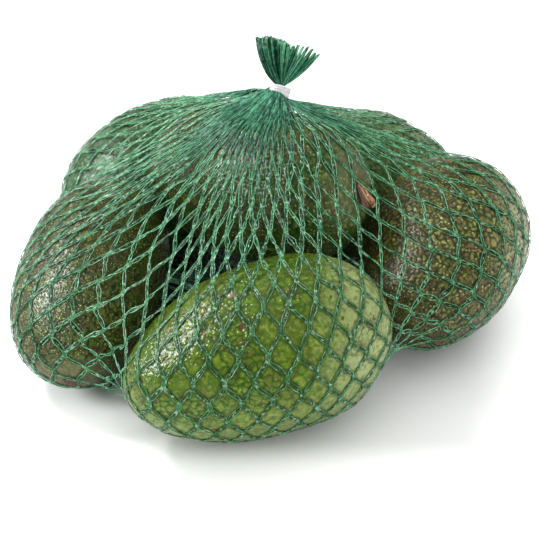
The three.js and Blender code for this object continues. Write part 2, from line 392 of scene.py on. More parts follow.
def make_fruit(name):
    f = BY_NAME[name]
    grid, spacing, height, even, seed, crowd = SKIN[name]
    rng = np.random.default_rng(seed)
    d, quads = cube_sphere(grid)
    seen = np.array([0.0, -0.857, 0.515])
    d = unit(d + crowd * np.array([seen @ f.u, seen @ f.v, seen @ f.w]))
    base = f.point(d)
    _, nrm = f.field(base)
    feats, size = scatter(f, spacing, rng, Waves(seed + 50, 30.0))
    count = len(feats)
    tone = rng.uniform(0, 1, count)
    tall = 0.30 + 0.70 * rng.uniform(0, 1, count) ** 1.5
    kd = kdtree.KDTree(count)
    for k in range(count):
        kd.insert(feats[k], k)
    kd.balance()
    # some pebbles run together with the one beside them
    family = np.arange(count)
    for k in range(count):
        if rng.uniform() < 0.36:
            family[k] = family[kd.find_n(feats[k], 2)[1][1]]
    # and none is quite round
    bend = [Waves(seed + 60 + c, 4.2, 12) for c in range(3)]
    look = base + 0.42 * np.stack([w(base) for w in bend], 1)
    n = len(base)
    f1 = np.zeros(n)
    f2 = np.zeros(n)
    near = np.zeros(n, int)
    for k in range(n):
        hits = kd.find_n(look[k], 7)
        a = hits[0][1]
        near[k] = a
        f1[k] = hits[0][2]
        fam = family[a]
        f2[k] = hits[6][2]
        for h in hits[1:]:
            if family[h[1]] != fam:
                f2[k] = h[2]
                break
    own = family[near]
    peb = np.clip(1.0 - (2.0 * f1 / (f1 + f2 + 1e-9)) ** 2.2, 0, 1)     # a round dome each
    # the skin is smoother in broad patches and towards the two ends
    s = d[:, 0]
    calm = even + (1.15 - even) * 0.6 * (1.0 + Waves(seed + 100, 24.0)(base))
    ends = 1.0 - 0.55 * smooth(np.abs(s), 0.90, 1.0)
    rough = np.clip(calm, even, 1.0) * ends
    if name == "front":          # the smoother fruit: pebbles fade low and to the right
        up = smooth(base[:, 2], 10.0, 46.0)
        lefts = smooth(base[:, 0], 22.0, -28.0)
        rough = rough * (0.26 + 0.74 * up * (0.25 + 0.75 * lefts))
    # long shallow furrows round the stalk, its dimple, and the far end's small nub
    d0 = unit(np.array([STALK[name]]))[0]
    along = d @ d0
    t1 = unit(np.cross(d0, [0.1, 0.5, 0.86])[None])[0]
    t2 = np.cross(d0, t1)
    ang = np.arctan2(d @ t2, d @ t1)
    near_stalk = smooth(along, 0.80, 0.97)
    furrow = np.sin(ang * 21 + 2.2 * np.sin(ang * 3 + seed)) * near_stalk
    rough = rough * (1.0 - 0.6 * near_stalk)
    dimple = -1.3 * np.exp(-((1 - along) / 0.006)) * (along > 0)
    tip = 0.25 * np.exp(-((1 + along) / 0.0035)) * (along < 0)
    pale = smooth(base[:, 2] / 62.0, 0.75, 0.12)
    # the front fruit is paler towards its right end, partly its own paler skin and partly painted light from that side
    if name == "front":
        pale = np.maximum(0.38 * pale, smooth(base[:, 0], 8.0, 34.0))
    # painted light: a painted sheen round the right fruit's outer flank, where its rim faces the white surroundings
    if name == "right":          # lighter round its outer flank
        pale = np.maximum(0.4 * pale, 2.0 * smooth(base[:, 0], 76.0, 95.0))
    # painted light: a painted sheen round the left fruit's outer flank as well
    if name == "left":
        pale = np.maximum(0.3 * pale, 0.8 * smooth(base[:, 0], -82.0, -98.0))
    # the yellow pebbles of the right fruit are mostly on its upper half
    sunny = 0.45 + 0.55 * smooth(base[:, 2], 22.0, 52.0) if name == "right" else 1.0
    # listed scars
    scar = np.zeros(n)
    blush = np.zeros(n)
    fray = base + 0.35 * np.stack([Waves(seed + 80 + c, 2.6, 12)(base) for c in range(3)], 1)
    for who, at, half, kind in MARKS:
        if who == name:
            at = np.array([at], float)
            sd, way = f.field(at)
            q = fray - (at - sd[:, None] * way)
            near_mark = smooth(np.sqrt((q * q).sum(1)), half * 1.25, half * 0.35)
            if kind == "scar":
                scar = np.maximum(scar, near_mark)
            else:
                blush = np.maximum(blush, near_mark)
    lump = f.lump_size * f.lump(base)
    rise = height * rough * (peb * tall[own] - 0.38) + 0.09 * furrow + dimple + tip + lump
    rise = rise - 0.18 * scar + 0.15 * blush
    co = base + rise[:, None] * nrm
    co[:, 2] = np.maximum(co[:, 2], 0.12)
    # the attribute low marks the skin near the floor, where the material paints shade
    ob = mesh_object("avocado_" + name, co, quads, attrs={
        "peb": peb * (0.55 + 0.45 * tall[own]), "rough": rough, "tone": tone[own] * sunny, "along": along,
        "pale": pale, "scar": scar, "blush": blush, "low": smooth(base[:, 2], 30.0, 6.0)})
    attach(ob, "root")
    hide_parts("net_bag")
    return ob


# display colours per fruit: valley, main, second, brown patches, pebble tip, specks (partly painted glints), pale
# underside (also painted light on some flanks)
LOOK = {
    "front": dict(valley=(36, 66, 0), main=(68, 104, 6), second=(82, 112, 14), brown=(90, 86, 32),
                  tip=(118, 138, 44), speck_and_glint=(158, 164, 92), pale=(166, 180, 124), pale_amt=0.8, brown_amt=0.35,
                  rough=0.20, dots=760.0, speck_and_glint_amt=0.35, low_shade_amt=0.36),
    "left": dict(valley=(20, 32, 8), main=(68, 86, 34), second=(66, 88, 34), brown=(88, 72, 40),
                 tip=(114, 116, 50), speck_and_glint=(172, 168, 104), pale=(100, 106, 68), pale_amt=0.3, brown_amt=0.58,
                 rough=0.20, dots=1150.0, speck_and_glint_amt=0.85, low_shade_amt=0.95),
    "backleft": dict(valley=(22, 50, 28), main=(52, 96, 56), second=(60, 104, 62), brown=(68, 78, 50),
                     tip=(106, 132, 78), speck_and_glint=(146, 160, 112), pale=(98, 120, 78), pale_amt=0.4, brown_amt=0.4,
                     rough=0.28, dots=800.0, speck_and_glint_amt=0.6, low_shade_amt=0.2),
    "centre": dict(valley=(22, 40, 10), main=(46, 86, 22), second=(60, 90, 30), brown=(84, 74, 46),
                   tip=(106, 122, 56), speck_and_glint=(180, 174, 116), pale=(84, 90, 46), pale_amt=0.3, brown_amt=0.72,
                   rough=0.22, dots=900.0, speck_and_glint_amt=0.9, low_shade_amt=0.0),
    "right": dict(valley=(26, 30, 8), main=(76, 86, 36), second=(88, 96, 42), brown=(98, 80, 56),
                  tip=(160, 158, 80), speck_and_glint=(192, 188, 124), pale=(158, 170, 124), pale_amt=0.40, brown_amt=0.72,
                  rough=0.22, dots=800.0, speck_and_glint_amt=0.7, low_shade_amt=0.36),
    "backright": dict(valley=(42, 66, 32), main=(88, 124, 68), second=(98, 130, 76), brown=(92, 92, 58),
                      tip=(138, 150, 86), speck_and_glint=(156, 158, 94), pale=(106, 114, 68), pale_amt=0.4, brown_amt=0.5,
                      rough=0.28, dots=800.0, speck_and_glint_amt=0.6, low_shade_amt=0.35),
}


def skin_material(name):
    k = LOOK[name]
    _, heading, rise = FRUIT[name][:3]
    n = Nodes("skin_" + name)
    peb, tone, along, pale, ruf = n.attr("peb"), n.attr("tone"), n.attr("along"), n.attr("pale"), n.attr("rough")
    broad = n.noise(38.0, 2.0)
    mid = n.noise(130.0, 3.0)
    fine = n.noise(900.0, 3.0, 0.6)
    dots = n.cells(k["dots"])
    dot_id = n.cells(k["dots"], "F1", "Color")
    streak = n.noise(820.0, 2.0, 0.5, stretch=(heading, rise, 16.0))
    col = n.mix(n.remap(broad, 0.38, 0.62), k["main"], k["second"])
    col = n.mix(n.math("MULTIPLY", n.remap(mid, 0.45, 0.68), k["brown_amt"]), col, k["brown"])
    # paler underside, and painted light on the flanks of the front, right and left fruit
    col = n.mix(n.math("MULTIPLY", pale, k["pale_amt"]), col, k["pale"])
    # fine streaks along the fruit where it is smooth
    plain = n.remap(ruf, 0.55, 0.15)
    col = n.mix(n.math("MULTIPLY", n.remap(streak, 0.48, 0.66, 0.0, 0.45), plain), col, k["tip"])
    col = n.mix(n.math("MULTIPLY", n.remap(streak, 0.46, 0.32, 0.0, 0.35), plain), col, k["valley"])
    blot = n.noise(560.0, 2.0, 0.5)
    col = n.mix(n.math("MULTIPLY", n.remap(blot, 0.50, 0.66, 0.0, 0.50), plain), col, k["speck_and_glint"])
    col = n.mix(n.math("MULTIPLY", n.remap(blot, 0.48, 0.36, 0.0, 0.50), plain), col, k["valley"])
    # pebbles: dark in the valleys, yellower on the tips, each one a little its own tone
    show = n.remap(ruf, 0.12, 0.6, 0.0, 1.0)
    col = n.mix(n.math("MULTIPLY", n.remap(tone, 0.30, 0.05, 0.0, 0.6), show), col, k["brown"])
    col = n.mix(n.math("MULTIPLY", n.remap(peb, 0.50, 0.05, 0.0, 0.92), show), col, k["valley"])
    tips = n.math("MULTIPLY", n.remap(peb, 0.40, 0.90), n.remap(tone, 0.2, 0.95, 0.1, 1.0))
    col = n.mix(n.math("MULTIPLY", tips, show), col, k["tip"])
    # small pale specks, one to a cell, partly the skin's own specks and partly painted glints, and darker grain between
    # them
    sp = n.t.nodes.new("ShaderNodeSeparateColor")
    n.link(dot_id, sp.inputs[0])
    spot = n.math("MULTIPLY", n.remap(dots, 0.42, 0.16), n.remap(sp.outputs[0], 0.50, 0.80))
    col = n.mix(n.math("MULTIPLY", spot, k["speck_and_glint_amt"]), col, k["speck_and_glint"])
    col = n.mix(n.math("MULTIPLY", n.remap(fine, 0.56, 0.70, 0.0, 0.55), n.remap(ruf, 0.1, 0.5, 0.15, 1.0)), col, k["valley"])
    # painted shade: darker towards the bottom, near the floor
    col = n.mix(n.math("MULTIPLY", n.attr("low"), k["low_shade_amt"]), col, k["valley"])
    # painted shade: the skin is darker close beside the yarn
    col = n.mix(n.math("MULTIPLY", n.attr("yarn_shade"), 0.46), col, (20, 42, 10))
    # grey radial skin by the stalk, corky far tip, scars
    col = n.mix(n.remap(along, 0.86, 0.97, 0.0, 0.45), col, (104, 104, 78))
    col = n.mix(n.remap(along, 0.988, 0.998, 0.0, 0.8), col, (92, 66, 44))
    col = n.mix(n.remap(along, -0.990, -0.999, 0.0, 0.8), col, (60, 44, 28))
    col = n.mix(n.remap(n.attr("scar"), 0.1, 0.8, 0.0, 0.85), col, (78, 46, 32))
    col = n.mix(n.remap(n.attr("blush"), 0.1, 0.7, 0.0, 0.8), col, (152, 118, 98))
    n.link(col, n.b.inputs["Base Color"])
    rough = n.math("ADD", k["rough"] - 0.06, n.math("MULTIPLY", mid, 0.14))
    rough = n.math("ADD", rough, n.remap(peb, 0.4, 0.0, 0.0, 0.22))
    n.link(rough, n.b.inputs["Roughness"])
    n.b.inputs["Specular IOR Level"].default_value = 0.16
    h = n.math("ADD", n.math("MULTIPLY", fine, 0.5), n.math("MULTIPLY", n.remap(dots, 0.6, 0.0), n.remap(ruf, 0.1, 0.6, 0.1, 0.9)))
    n.link(n.bump(h, 0.00030, 0.9), n.b.inputs["Normal"])
    return n.mat


# ---------------------------------------------------------------- the net
def girth():
    """plan outline of the drawn bag: the hull of the fruit seen from above"""
    ang = np.linspace(0, 2 * math.pi, 721)
    way = np.stack([np.cos(ang), np.sin(ang)], 1)
    reach = np.full(len(ang), -1e9)
    d = unit(np.random.default_rng(1).normal(size=(4000, 3)))
    for f in FRUITS:
        reach = np.maximum(reach, (way @ f.point(d)[:, :2].T).max(1))
    turn = np.gradient(reach, ang)
    return way * reach[:, None] + np.stack([-way[:, 1], way[:, 0]], 1) * turn[:, None]


def knit():
    """the net drawn tight over the fruit: upper and lower end of every knot"""
    N, R = CELLS, ROWS
    rng = np.random.default_rng(7)
    foot = np.array([FOOT[0], FOOT[1], 12.5])
    heart = np.array([TOP[0], TOP[1], 42.0])
    twist = 0.35
    rim = girth()
    mid = 0.5 * (TOP + foot)[:2]
    az = np.unwrap(np.arctan2(rim[:, 1] - mid[1], rim[:, 0] - mid[0]))
    # the columns stand evenly round the girth, but wider apart over the right fruit
    # and closer over the left one
    off = (az + 15.0 * DEG + math.pi) % (2 * math.pi) - math.pi
    left = (az - 226.0 * DEG + math.pi) % (2 * math.pi) - math.pi
    thick = 1.0 - 0.36 * np.exp(-(off / (55.0 * DEG)) ** 2) + 0.28 * np.exp(-(left / (45.0 * DEG)) ** 2)
    step = np.sqrt((np.diff(rim, axis=0) ** 2).sum(1)) * 0.5 * (thick[1:] + thick[:-1])
    run = np.concatenate([[0], np.cumsum(step)])

    def azimuth(k):
        k = np.asarray(k, float) / N
        lap = np.floor(k)
        return np.interp((k - lap) * run[-1], run, az) + 2 * math.pi * lap

    U = np.zeros((R, N, 3))
    L = np.zeros((R, N, 3))
    for j in range(R):
        for part, P in ((0.0, U), (0.35, L)):
            v = (j + part) / (R - 1 + 0.35)
            th = azimuth(np.arange(N) + 0.5 * (j % 2) + twist * v * N / (2 * math.pi))
            ph = (88 - 176 * v) * DEG
            rr = 118 * math.cos(ph) ** 0.8
            P[j, :, 0] = TOP[0] * (1 - v) + foot[0] * v + rr * np.cos(th)
            P[j, :, 1] = TOP[1] * (1 - v) + foot[1] * v + rr * np.sin(th)
            P[j, :, 2] = max(44 + 60 * math.sin(ph), 0.4)
    th = 0.5 * azimuth(np.arange(N)) + 0.5 * (az[0] + 2 * math.pi * np.arange(N) / N)
    rp = 3.9 * np.sqrt(rng.uniform(0.5, 1, N))
    pin_u = TOP + (rp * np.cos(th))[:, None] * NX + (rp * np.sin(th))[:, None] * NY - (1.6 + 1.4 * np.cos(th))[:, None] * NZ
    th = 2 * math.pi * (np.arange(N) + 0.5 * ((R - 1) % 2)) / N + twist
    rp = 2.3 * np.sqrt(rng.uniform(0.35, 1, N))
    pin_l = foot + np.stack([rp * np.cos(th), rp * np.sin(th), np.zeros(N)], 1)
    lk = KNOT * rng.uniform(0.9, 1.12, (R, N))
    # the rows are drawn longer up to the shoulder than below it
    drawn = np.interp(np.arange(R - 1) / (R - 2.0), [0.0, 0.28, 0.48, 1.0], [1.14, 1.14, 0.90, 0.90])[:, None]
    lr = LEG * 1.03 * drawn * rng.uniform(0.93, 1.07, (R - 1, N))
    ll = LEG * 0.97 * drawn * rng.uniform(0.93, 1.07, (R - 1, N))
    idx = np.arange(N)
    RI = np.stack([idx if j % 2 == 0 else (idx + 1) % N for j in range(R - 1)])
    LI = np.stack([(idx - 1) % N if j % 2 == 0 else idx for j in range(R - 1)])
    UJ = np.arange(R - 1)[:, None] * np.ones((1, N), int) + 1

    def strain(A, B, rest, slack):
        d = B - A
        l = np.sqrt((d * d).sum(-1)) + 1e-9
        e = (l - rest) / l
        return (0.5 * np.where(e > 0, 1.0, slack) * e)[..., None] * d

    steps = 620
    ease = int(steps * 0.55)
    sc = sk = 1.2
    for it in range(steps):
        f = it / steps
        if it < ease:
            sc = sk = 1.2 + (0.72 - 1.2) * min(1, it / (0.6 * ease))
        elif it == ease:
            # drawn over-tight so far: now give each side of the bag the length it needs
            run = np.sqrt(((L - U) ** 2).sum(-1)).sum(0)
            leg = 0.5 * (np.sqrt(((L[:-1] - U[UJ, RI]) ** 2).sum(-1)) + np.sqrt(((L[:-1] - U[UJ, LI]) ** 2).sum(-1)))
            need = (run + leg.sum(0)) / (lk.sum(0) + 0.5 * (lr + ll).sum(0))
            wide = np.exp(-0.5 * (np.arange(-12, 13) / 5.0) ** 2)
            need = sum(w * np.roll(need, k) for w, k in zip(wide / wide.sum(), range(-12, 13)))
            sc = 0.95 * need[None, :]
            sk = 0.80 * need[None, :]
        pu, pl = U.copy(), L.copy()
        for _ in range(3):
            m = strain(U, L, lk * sk, 0.6)
            U += m
            L -= m
            m = strain(L[:-1], U[UJ, RI], lr * sc, 0.06)
            L[:-1] += m
            U[UJ, RI] -= m
            m = strain(L[:-1], U[UJ, LI], ll * sc, 0.06)
            L[:-1] += m
            U[UJ, LI] -= m
            U[0] = pin_u
            L[-1] = pin_l
        if it > ease:
            # drawn up by the band, the net runs straight where nothing holds it out
            for A in (U, L):
                for st in (2, 4):
                    e = 0.5 * (A[:-2 * st] + A[2 * st:]) - A[st:-st]
                    rim = np.roll(A[st:-st], -1, 1) - np.roll(A[st:-st], 1, 1)
                    out = unit(np.cross(A[2 * st:] - A[:-2 * st], rim))
                    A[st:-st] += np.clip(0.12 * (e * out).sum(-1), 0, 0.2)[..., None] * out
                # crowded columns push one another apart
                rim = np.roll(A, -1, 1) - np.roll(A, 1, 1)
                room = np.sqrt((rim * rim).sum(-1)) / 2 + 1e-9
                e = 0.5 * (np.roll(A, -1, 1) + np.roll(A, 1, 1)) - A
                rim = rim / (2 * room[..., None])
                A += (0.25 * np.clip(1.6 - room / 2.5, 0, 1) * (e * rim).sum(-1))[..., None] * rim
            U[0] = pin_u
            L[-1] = pin_l
        P = np.concatenate([U.reshape(-1, 3), L.reshape(-1, 3)])
        P0 = np.concatenate([pu.reshape(-1, 3), pl.reshape(-1, 3)])
        P -= 0.02 * unit(P - heart)
        P, hit = push_out(P, CLEAR)
        P[:, 2] = np.maximum(P[:, 2], 0.35)
        mu = 0.25 if f > 0.5 else 0.05
        P[hit] -= mu * (P[hit] - P0[hit])
        P, _ = push_out(P, CLEAR)
        U = P[:R * N].reshape(R, N, 3).copy()
        L = P[R * N:].reshape(R, N, 3).copy()
        U[0] = pin_u
        L[-1] = pin_l
    return U, L, RI, LI


def ribbon_mesh(name, paths, across, normals, half_w, half_t, attrs):
    """closed flat strips: paths (K, n, 3), across and normals alike, half sizes (K, n)"""
    K, n = paths.shape[:2]
    a = across * half_w[..., None]
    b = normals * half_t[..., None]
    ring = np.stack([paths - a - b * 0.5, paths + a - b * 0.5, paths + b * 1.5], 2)
    # a low ridge: flat below, with a crown that catches the light
    verts = ring.reshape(-1, 3)
    idx = np.arange(K * n * 3).reshape(K, n, 3)
    quads = []
    for c in range(3):
        d = (c + 1) % 3
        quads.append(np.stack([idx[:, :-1, c], idx[:, :-1, d], idx[:, 1:, d], idx[:, 1:, c]], -1).reshape(-1, 4))
    quads = np.concatenate(quads)
    tris = np.concatenate([idx[:, 0, ::-1].reshape(-1, 3), idx[:, -1, :].reshape(-1, 3)])
    at = {k: np.repeat(v.reshape(-1), 3) for k, v in attrs.items()}
    return mesh_object(name, verts, quads, tris, attrs=at)


def wale_knot(w, j):
    """index and side of the knot that wale w passes through in row j"""
    if j % 2 == 0:
        return w // 2, (-1 if w % 2 == 0 else 1)
    if w % 2 == 1:
        return (w - 1) // 2, -1
    return ((w - 2) // 2) % CELLS, 1


def under(p):
    """where the yarn lies on the light front fruit, and where on a darker one"""
    flat = p.reshape(-1, 3)
    sd = np.stack([f.field(flat)[0] for f in FRUITS])
    on = smooth(sd.min(0), 2.2, 0.8).reshape(p.shape[:-1])
    light = on * (sd.argmin(0) == 0).reshape(p.shape[:-1])
    return {"lime": light, "dusk": on - light}


def make_net():
    U, L, RI, LI = knit()
    N, R, W = CELLS, ROWS, 2 * CELLS
    rng = np.random.default_rng(41)
    K = (U + L) / 2
    down = unit(L - U)
    side = unit(np.roll(K, -1, 1) - np.roll(K, 1, 1))
    side = unit(side - (side * down).sum(-1)[..., None] * down)
    outw = np.cross(down, side)
    gap = np.sqrt(((np.roll(K, -1, 1) - np.roll(K, 1, 1)) ** 2).sum(-1)) / 2
    tight = np.clip(gap / 4.2, 0.28, 1.0)                 # 1 on the open net, small by the bands
    apart = np.interp(gap, [0.0, 2.0, 4.5], [0.0, 0.50, 0.46])     # from the middle of a knot to each wale
    fan = np.interp(gap, [0.0, 2.0, 4.5], [0.0, 0.33, 0.25])       # from thread to thread

    # in the middle of the front the gathered threads lie closer together and leave the skin bare between them
    away = K - TOP
    bare = smooth(np.abs(np.arctan2(away[..., 0] - 0.20 * away[..., 1], -away[..., 1])), 58.0 * DEG, 26.0 * DEG)
    bare = bare * np.interp(gap, [2.6, 4.4], [1.0, 0.0]) * np.interp(np.arange(R), [0, 2, R // 2, R // 2 + 1], [0.3, 1, 1, 0])[:, None]
    apart = apart * (1.0 - 0.34 * bare)
    fan = fan * (1.0 - 0.52 * bare)

    T = np.array([0.14, 0.38, 0.62, 0.86])                       # samples along a leg
    per = 2 + len(T)
    n = per * R - len(T)
    path = np.zeros((W, n, 3))
    nrm = np.zeros((W, n, 3))
    scale = np.zeros((W, n))
    close = np.zeros((W, n))
    thin = np.zeros((W, n))
    in_leg = np.zeros((W, n))
    tleg = np.zeros((W, n))
    wi = np.zeros((R, W), int)
    ws = np.zeros((R, W))
    for j in range(R):
        for w in range(W):
            wi[j, w], ws[j, w] = wale_knot(w, j)
    for j in range(R):
        i, s = wi[j], ws[j]
        half = (apart[j, i] * s)[:, None] * side[j, i]
        p = j * per
        for q, P in enumerate((U[j, i], L[j, i])):
            path[:, p + q] = P + half
            nrm[:, p + q] = outw[j, i]
            scale[:, p + q] = tight[j, i]
            close[:, p + q] = fan[j, i]
            thin[:, p + q] = bare[j, i]
    for j in range(R - 1):
        p = j * per + 1
        a, b = path[:, p], path[:, (j + 1) * per]
        da, db = down[j, wi[j]], down[j + 1, wi[j + 1]]
        ln = np.sqrt(((b - a) ** 2).sum(-1))[:, None]
        ta = (0.40 * da + 0.60 * (b - a) / ln) * ln
        tb = (0.40 * db + 0.60 * (b - a) / ln) * ln
        for q, t in enumerate(T):
            h00, h10 = 2 * t ** 3 - 3 * t ** 2 + 1, t ** 3 - 2 * t ** 2 + t
            h01, h11 = -2 * t ** 3 + 3 * t ** 2, t ** 3 - t ** 2
            path[:, p + 1 + q] = h00 * a + h10 * ta + h01 * b + h11 * tb
            nrm[:, p + 1 + q] = unit((1 - t) * nrm[:, p] + t * nrm[:, (j + 1) * per])
            scale[:, p + 1 + q] = (1 - t) * scale[:, p] + t * scale[:, (j + 1) * per]
            close[:, p + 1 + q] = (1 - t) * close[:, p] + t * close[:, (j + 1) * per]
            thin[:, p + 1 + q] = (1 - t) * thin[:, p] + t * thin[:, (j + 1) * per]
            in_leg[:, p + 1 + q] = math.sin(math.pi * t) ** 0.6
            tleg[:, p + 1 + q] = t

    tang = np.zeros_like(path)
    tang[:, 1:-1] = path[:, 2:] - path[:, :-2]
    tang[:, 0] = path[:, 1] - path[:, 0]
    tang[:, -1] = path[:, -1] - path[:, -2]
    tang = unit(tang)
    nrm = unit(nrm - (nrm * tang).sum(-1)[..., None] * tang)
    lat = np.cross(nrm, tang)

    # the three threads of a wale: side by side, and now and then crossing in a leg
    swap = np.ones((W, n))
    cross = np.zeros((W, n))
    for w in range(W):
        sgn = 1.0
        for j in range(R):
            p = j * per
            swap[w, p:p + 2] = sgn
            if j < R - 1:
                if rng.uniform() < 0.28:
                    for q, t in enumerate(T):
                        swap[w, p + 2 + q] = sgn * math.cos(math.pi * smooth(np.array(t), 0.1, 0.9))
                        cross[w, p + 2 + q] = math.sin(math.pi * t)
                    sgn = -sgn
                else:
                    swap[w, p + 2:p + per] = sgn
    jig = rng.normal(size=(3, W, n, 2))
    leg_no = np.minimum(np.arange(n) // per, R - 1)
    loose = rng.uniform(0.5, 1.3, (W, R))[:, leg_no]             # some legs lie open, some drawn thin
    film = rng.uniform(0.25, 1.0, (W, R))[:, leg_no]
    spread = close + in_leg * scale * (0.46 - 0.24 * thin) * loose * np.clip(1.0 + 0.35 * jig[0, :, :, 0], 0.3, 1.8)
    yarns = []
    for fil, f in enumerate((-1.0, 0.0, 1.0)):
        # two fine threads at the edges, a flat darker one between and under them; its dark colour is partly painted
        # shade under the edge threads
        off = f * swap * spread + in_leg * scale * (0.09 if f else 0.16) * jig[fil, :, :, 0]
        lift = in_leg * scale * 0.05 * np.abs(jig[fil, :, :, 1]) + 0.11 * cross * f
        q = path + lat * off[..., None] + nrm * lift[..., None]
        flat = q.reshape(-1, 3)
        flat, _ = push_out(flat, (CLEAR - (0.05 if f else 0.09) + np.maximum(lift, 0)).reshape(-1))
        flat[:, 2] = np.maximum(flat[:, 2], 0.2)
        q = flat.reshape(W, n, 3)
        turn = (rng.normal(size=(W, n)) * (0.6 if f else 0.25) + rng.normal(size=(W, 1)) * 0.2) * (0.35 + 0.65 * in_leg)
        acr = lat * np.cos(turn)[..., None] + nrm * np.sin(turn)[..., None]
        up = nrm * np.cos(turn)[..., None] - lat * np.sin(turn)[..., None]
        hw = 0.165 * (1.75 - 0.75 * np.minimum(scale, 1.0) - 0.45 * thin) * rng.uniform(0.82, 1.18, (W, 1)) * (1 - 0.10 * in_leg)
        tone = np.clip(rng.uniform(0, 1, (W, 1)) * 0.3 + rng.uniform(0, 1, (W, n)) * 0.7, 0, 1)
        if f:
            tone = 0.25 + 0.75 * tone
        else:
            hw = hw + 0.26 * in_leg * scale * loose * film * (1.0 - 0.7 * thin)
            # partly painted shade: the flat middle thread is given a dark tone
            tone = 0.38 * tone
        ht = np.full((W, n), 0.10 if f else 0.06)
        yarns.append((q, acr, up, hw, ht, {"tone": tone, "open": scale, **under(q)}))
    obs = []
    for fil, y in enumerate(yarns):
        ob = ribbon_mesh("net_yarn_" + "abc"[fil], *y)
        obs.append(ob)

    # where the net is drawn up under the top band, more of its threads lie between the wales
    seg = 15
    P, A, B, HW, TN = [], [], [], [], []
    for w in range(W):
        wide = [j for j in range(1, R // 2) if gap[j, wi[j, w]] > 3.1]
        stop = per * (wide[0] if wide else R // 2)
        v = (w + 1) % W
        # fewer of them in the middle of the front, where the skin shows between the wales
        way = path[w, stop // 2] - TOP
        front = abs(math.atan2(way[0] + 0.12 * way[1], -way[1])) < 40.0 * DEG
        for _ in range(1 if front else 3):
            at = np.linspace(0, stop * (rng.uniform(0.25, 0.5) if front else rng.uniform(0.55, 1.0)), seg)
            lo_ = np.minimum(at.astype(int), n - 2)
            fr = (at - lo_)[:, None]
            ease_in = smooth(np.linspace(0, 1, seg), 1.0, 0.7)
            goal = rng.integers(2)
            u = goal + (rng.uniform(0.15, 0.85) - goal) * ease_in
            u = (u + 0.10 * np.sin(at * 0.5 + rng.uniform(0, 6)) * ease_in)[:, None]
            pa = path[w, lo_] * (1 - fr) + path[w, lo_ + 1] * fr
            pb = path[v, lo_] * (1 - fr) + path[v, lo_ + 1] * fr
            P.append(pa * (1 - u) + pb * u)
            B.append(nrm[w, lo_])
            HW.append(0.20 * rng.uniform(0.7, 1.3) * np.interp(np.linspace(0, 1, seg), [0, 0.7, 1], [1.0, 1.0, 0.6]))
            TN.append(np.clip(rng.uniform(0, 0.5) + rng.uniform(-0.2, 0.2, seg), 0, 1))
    P, B, HW, TN = np.array(P), np.array(B), np.array(HW), np.array(TN)
    P = P - 0.16 * B
    flat, _ = push_out(P.reshape(-1, 3), CLEAR - 0.12)
    P = flat.reshape(P.shape)
    A = unit(np.gradient(P, axis=1))
    B = unit(B - (B * A).sum(-1)[..., None] * A)
    obs.append(ribbon_mesh("net_gather", P, np.cross(B, A), B, HW, np.full(HW.shape, 0.07),
                           {"tone": TN, "open": np.full(HW.shape, 0.35)}))

    # lacing: a thread zigzags between the two wales of each knot, and short links
    # close the crotch above and below it
    P, A, B, HW, TN, SC = [], [], [], [], [], []
    steps = np.linspace(-0.25, 1.25, 5)
    for j in range(R):
        sc = tight[j][:, None]
        flip = rng.choice([-1.0, 1.0], N)[:, None]
        pts, ac = [], []
        for q, t in enumerate(steps):
            x = flip * (1 if q % 2 else -1) * 0.66 * sc * rng.uniform(0.8, 1.15, (N, 1))
            pts.append(U[j] + (L[j] - U[j]) * t + side[j] * x + outw[j] * 0.16)
            ac.append(down[j])
        P.append(np.stack(pts, 1))
    lace = np.concatenate(P)
    lace_out = np.repeat(outw.reshape(-1, 1, 3), len(steps), 1)
    lt = np.zeros_like(lace)
    lt[:, 1:-1] = lace[:, 2:] - lace[:, :-2]
    lt[:, 0] = lace[:, 1] - lace[:, 0]
    lt[:, -1] = lace[:, -1] - lace[:, -2]
    lt = unit(lt)
    lo = unit(lace_out - (lace_out * lt).sum(-1)[..., None] * lt)
    flat = lace.reshape(-1, 3)
    flat, _ = push_out(flat, CLEAR + 0.12)
    flat[:, 2] = np.maximum(flat[:, 2], 0.2)
    lace = flat.reshape(lace.shape)
    m = len(lace)
    scl = np.repeat(tight.reshape(-1, 1), len(steps), 1)
    obs.append(ribbon_mesh("net_lacing", lace, np.cross(lo, lt), lo,
                           0.17 * (0.6 + 0.4 * scl), np.full((m, len(steps)), 0.07),
                           {"tone": np.repeat(rng.uniform(0, 1, (m, 1)), len(steps), 1), "open": scl, **under(lace)}))

